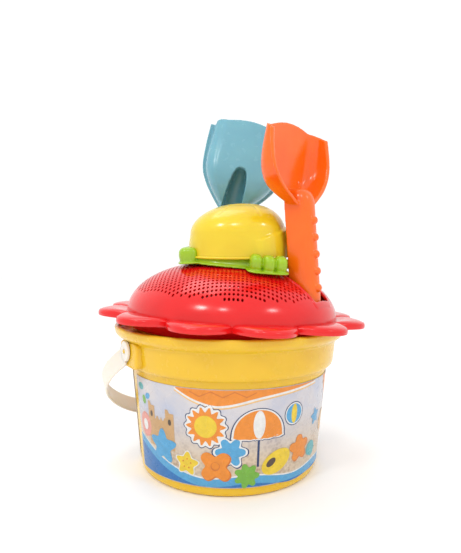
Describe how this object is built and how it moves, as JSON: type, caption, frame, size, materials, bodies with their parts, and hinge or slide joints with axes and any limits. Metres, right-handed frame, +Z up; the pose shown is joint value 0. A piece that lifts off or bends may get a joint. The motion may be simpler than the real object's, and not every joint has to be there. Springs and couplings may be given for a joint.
{
  "type": "sand bucket set",
  "caption": "Child's sand bucket with a hinged bail, flower-shaped sieve lid, turtle sand mould and shovels standing in the lid.",
  "frame": {"origin": "centre of the bucket's flat underside", "axes": "+Z up along the bucket's axis, -Y towards the front of the label, +X to the right seen from the front"},
  "size_m": [0.222, 0.2218, 0.3154],
  "materials": {
    "yellow_bucket": "gloss, slightly translucent",
    "label_film": "printed film",
    "white_bail": "satin",
    "red_lid": "gloss",
    "green_turtle": "gloss",
    "yellow_shell": "gloss",
    "orange_shovel": "gloss",
    "blue_shovel": "gloss, slightly translucent"
  },
  "bodies": {
    "bucket": {"bucket": "yellow_bucket", "label": "label_film"},
    "bail": {"bail": "white_bail"},
    "lid": {"lid": "red_lid"},
    "turtle_body": {"turtle_body": "green_turtle"},
    "turtle_shell": {"turtle_shell": "yellow_shell"},
    "orange_shovel": {"orange_shovel": "orange_shovel"},
    "blue_shovel": {"blue_shovel": "blue_shovel"}
  },
  "joints": [
    {"name": "bail_hinge", "type": "hinge", "parent": "bucket", "child": "bail", "pos_m": [0, 0, 0.1044], "axis": [0.848, 0.5299, 0], "range_deg": [0, 36]},
    {"name": "lid_lift", "type": "slide", "parent": "bucket", "child": "lid", "axis": [0, 0, 1], "range_m": [0, 0.06]},
    {"name": "turtle_lift", "type": "slide", "parent": "lid", "child": "turtle_body", "axis": [-0.5, 0, 0.866], "range_m": [0, 0.06]},
    {"name": "shell_lift", "type": "slide", "parent": "turtle_body", "child": "turtle_shell", "axis": [-0.5, 0, 0.866], "range_m": [0, 0.04]},
    {"name": "orange_lift", "type": "slide", "parent": "lid", "child": "orange_shovel", "axis": [-0.075, 0, 0.9972], "range_m": [0, 0.09]},
    {"name": "blue_lift", "type": "slide", "parent": "lid", "child": "blue_shovel", "axis": [0.2756, 0, 0.9613], "range_m": [0, 0.09]}
  ]
}
